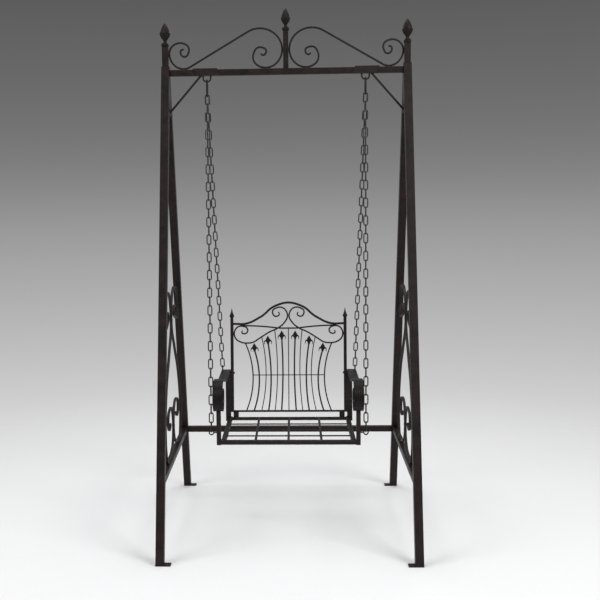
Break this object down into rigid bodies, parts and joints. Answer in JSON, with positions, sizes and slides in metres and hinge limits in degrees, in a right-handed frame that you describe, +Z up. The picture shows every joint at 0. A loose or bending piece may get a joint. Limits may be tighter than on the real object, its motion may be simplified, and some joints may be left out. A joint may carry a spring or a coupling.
{
  "type": "swing chair",
  "caption": "Single swing chair: a wrought steel seat with rolled arms and a scrolled back, hung by chains under the beam of an A-frame stand.",
  "frame": {"origin": "on the floor, under the middle of the top beam and midway between the four feet", "axes": "+X across the swing to the sitter's left, +Y from front to back, +Z up"},
  "size_m": [1.014, 1.041, 2.1085],
  "materials": {
    "frame_paint": "dark brown-black paint, satin, slightly textured",
    "seat_paint": "dark brown-black paint, satin, slightly textured",
    "finials": "dark brown-black paint over castings, satin",
    "fittings": "black paint over forged rod, satin",
    "chain": "black coated welded links, worn to grey where they rub"
  },
  "bodies": {
    "stand": {"centre_finial": "finials", "centre_post": "frame_paint", "corner_braces": "frame_paint", "foot_plates": "frame_paint", "hanger_sleeves": "frame_paint", "hanger_staples": "fittings", "head_caps": "frame_paint", "left_beam_scroll": "frame_paint", "left_finial": "finials", "left_front_leg": "frame_paint", "left_front_scroll": "frame_paint", "left_head_post": "frame_paint", "left_rear_leg": "frame_paint", "left_rear_scroll": "frame_paint", "left_side_rail": "frame_paint", "left_upper_post": "frame_paint", "rear_crossbar": "frame_paint", "right_beam_scroll": "frame_paint", "right_finial": "finials", "right_front_leg": "frame_paint", "right_front_scroll": "frame_paint", "right_head_post": "frame_paint", "right_rear_leg": "frame_paint", "right_rear_scroll": "frame_paint", "right_side_rail": "frame_paint", "right_upper_post": "frame_paint", "top_beam": "frame_paint"},
    "swing": {"arm_front_posts": "seat_paint", "arm_rear_posts": "seat_paint", "back_bolts": "seat_paint", "back_bottom_rail": "seat_paint", "back_cross_rail": "seat_paint", "back_finials": "finials", "back_lugs": "seat_paint", "back_mid_rod": "seat_paint", "camelback_rail": "seat_paint", "front_chain_eyes": "fittings", "left_arm": "seat_paint", "left_back_post": "seat_paint", "left_back_scroll": "seat_paint", "left_front_chain": "chain", "left_hanging_ring": "fittings", "left_rear_chain": "chain", "left_seat_rail": "seat_paint", "outer_back_bars": "seat_paint", "rear_chain_eyes": "fittings", "right_arm": "seat_paint", "right_back_post": "seat_paint", "right_back_scroll": "seat_paint", "right_front_chain": "chain", "right_hanging_ring": "fittings", "right_rear_chain": "chain", "right_seat_rail": "seat_paint", "seat_front_rail": "seat_paint", "seat_rear_rail": "seat_paint", "seat_rods": "seat_paint", "seat_slats": "seat_paint", "spear_bars": "seat_paint", "spear_heads": "seat_paint", "thin_bars": "seat_paint"}
  },
  "joints": [
    {"name": "swing_pivot", "type": "hinge", "parent": "stand", "child": "swing", "pos_m": [0, 0, 1.8251], "axis": [1, 0, 0], "range_deg": [-30, 30]}
  ]
}
